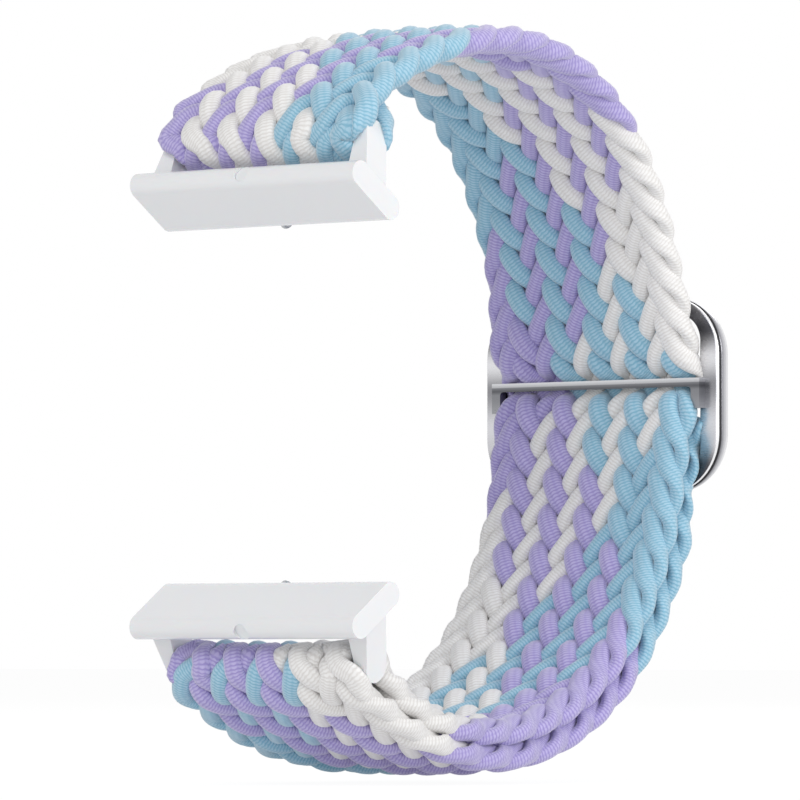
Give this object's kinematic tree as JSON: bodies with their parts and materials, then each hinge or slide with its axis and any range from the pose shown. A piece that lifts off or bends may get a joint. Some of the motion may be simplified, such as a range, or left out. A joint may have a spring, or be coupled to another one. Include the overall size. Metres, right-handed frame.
{
  "type": "braided loop watch band",
  "caption": "Elastic braided loop band with a slide buckle and two hinged slide-in connectors for a wrist watch.",
  "frame": {"origin": "centre of the watch case seat, midway between the two connectors' rails", "axes": "+X along the wrist and the connector rails, +Y from the case to the back of the loop, +Z to the upper connector"},
  "size_m": [0.0264, 0.0499, 0.063],
  "materials": {
    "braid_white": "braided elastic yarn, soft sheen",
    "braid_blue": "braided elastic yarn, soft sheen",
    "braid_lilac": "braided elastic yarn, soft sheen",
    "thread": "sewing thread",
    "polished_steel": "polished stainless steel",
    "satin_steel": "satin stainless steel",
    "spring_steel": "drawn spring wire",
    "white_plastic": "glossy moulded plastic"
  },
  "bodies": {
    "band": {"upper_band": "braid_lilac", "upper_lap": "braid_blue", "upper_stitches": "thread", "buckle_stretch": "braid_white", "lower_band": "braid_lilac", "lower_turn": "braid_white", "return_band": "braid_lilac", "return_stretch": "braid_blue"},
    "buckle": {"buckle_frame": "polished_steel", "buckle_bar": "satin_steel", "return_end": "braid_blue", "end_stitches": "thread", "end_pin": "satin_steel"},
    "upper_lug": {"upper_connector": "white_plastic", "upper_pin": "satin_steel", "upper_latch_spring": "spring_steel", "upper_latch_plug": "white_plastic"},
    "upper_plunger": {"upper_latch": "satin_steel"},
    "lower_lug": {"lower_connector": "white_plastic", "lower_pin": "satin_steel", "lower_latch_spring": "spring_steel", "lower_latch_plug": "white_plastic"},
    "lower_plunger": {"lower_latch": "satin_steel"}
  },
  "joints": [
    {"name": "buckle_slide", "type": "hinge", "parent": "band", "child": "buckle", "pos_m": [0, 0.0099, 0.0028], "axis": [1, 0, 0], "range_deg": [-8, 8], "deforming": ["buckle_stretch", "return_stretch"]},
    {"name": "upper_lug_turn", "type": "hinge", "parent": "band", "child": "upper_lug", "pos_m": [0, 0.0045, 0.022], "axis": [1, 0, 0], "range_deg": [-20, 20]},
    {"name": "upper_latch_press", "type": "slide", "parent": "upper_lug", "child": "upper_plunger", "axis": [0, -0.8192, 0.5736], "range_m": [0, 0.0005], "stiffness_N_per_m": 400, "springref_m": -0.0005, "deforming": ["upper_latch_spring"]},
    {"name": "lower_lug_turn", "type": "hinge", "parent": "band", "child": "lower_lug", "pos_m": [0, 0.0045, -0.022], "axis": [1, 0, 0], "range_deg": [-20, 20]},
    {"name": "lower_latch_press", "type": "slide", "parent": "lower_lug", "child": "lower_plunger", "axis": [0, -0.8192, -0.5736], "range_m": [0, 0.0005], "stiffness_N_per_m": 400, "springref_m": -0.0005, "deforming": ["lower_latch_spring"]}
  ]
}
